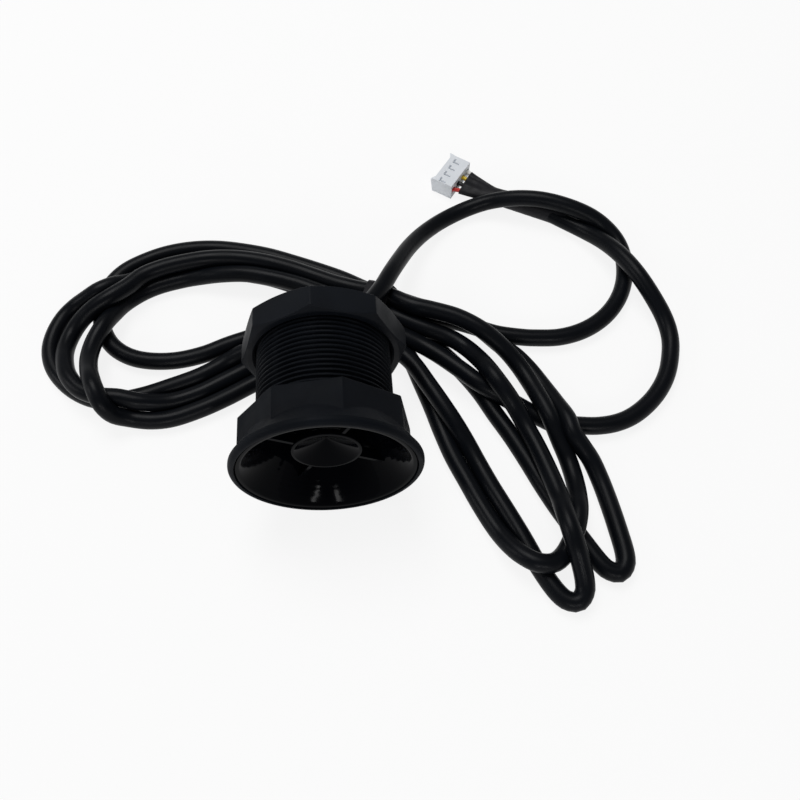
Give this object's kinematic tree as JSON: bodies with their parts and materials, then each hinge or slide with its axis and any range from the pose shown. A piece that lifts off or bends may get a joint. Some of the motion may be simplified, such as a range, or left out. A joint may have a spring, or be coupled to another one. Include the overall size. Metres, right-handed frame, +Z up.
{
  "type": "ultrasonic sensor",
  "caption": "Horn-type ultrasonic distance sensor on its side: bell mouth, octagonal collar, threaded barrel with lock nut, and a folded black cable ending in a white plug.",
  "frame": {"origin": "middle of the sensor's own box, without its cable, on the surface that it lies on", "axes": "+Z up; +Y from the mouth to the cable end, the sensor's axis dips about 3 degrees to the rear; +X to the right seen from the mouth"},
  "size_m": [0.1918, 0.1563, 0.0492],
  "materials": {
    "matte_black_plastic": "fine matte moulded black",
    "black_nylon": "satin moulded black",
    "gloss_black_plastic": "glossy black",
    "black_rubber": "matte",
    "aluminium": "drawn",
    "piezo_ceramic": "fired ceramic",
    "white_silicone": "cast silicone",
    "black_wire": "satin insulation",
    "red_wire": "satin insulation",
    "green_board": "solder mask",
    "chip_epoxy": "moulded epoxy",
    "ferrite": "sintered",
    "enamelled_copper": "enamelled wire",
    "nickel_steel": "nickel plated",
    "black_resin": "cast resin",
    "black_cord": "satin black sheath",
    "black_tie": "satin coated wire",
    "black_sleeve": "heat-shrink film",
    "white_nylon": "moulded natural white",
    "tinned_bronze": "tin plated",
    "red_lead": "satin insulation",
    "black_lead": "satin insulation",
    "yellow_lead": "satin insulation",
    "white_lead": "satin insulation"
  },
  "bodies": {
    "sensor": {"housing": "matte_black_plastic", "horn": "gloss_black_plastic", "transducer_boot": "black_rubber", "transducer_can": "aluminium", "piezo_disc": "piezo_ceramic", "transducer_backing": "white_silicone", "transducer_wire_ground": "black_wire", "transducer_wire_signal": "red_wire", "circuit_board": "green_board", "microcontroller": "chip_epoxy", "echo_amplifier": "chip_epoxy", "voltage_regulator": "chip_epoxy", "transformer_core": "ferrite", "transformer_coil": "enamelled_copper", "electrolytic_capacitor": "aluminium", "quartz_crystal": "nickel_steel", "rear_seal": "black_resin", "cable_bushing": "black_rubber", "cord_lead_out": "black_cord", "cord_plug_run": "black_cord", "cord_loops_left": "black_cord", "cord_loops_right": "black_cord", "cord_waist": "black_cord", "twist_tie": "black_tie", "heat_shrink_sleeve": "black_sleeve", "plug_housing": "white_nylon", "plug_contact_1": "tinned_bronze", "plug_contact_2": "tinned_bronze", "plug_contact_3": "tinned_bronze", "plug_contact_4": "tinned_bronze", "lead_red": "red_lead", "lead_black": "black_lead", "lead_yellow": "yellow_lead", "lead_white": "white_lead"},
    "nut": {"lock_nut": "black_nylon"}
  },
  "joints": [
    {"name": "lock_nut_travel", "type": "slide", "parent": "sensor", "child": "nut", "axis": [0, -0.9987, 0.0515], "range_m": [0, 0.02]}
  ]
}
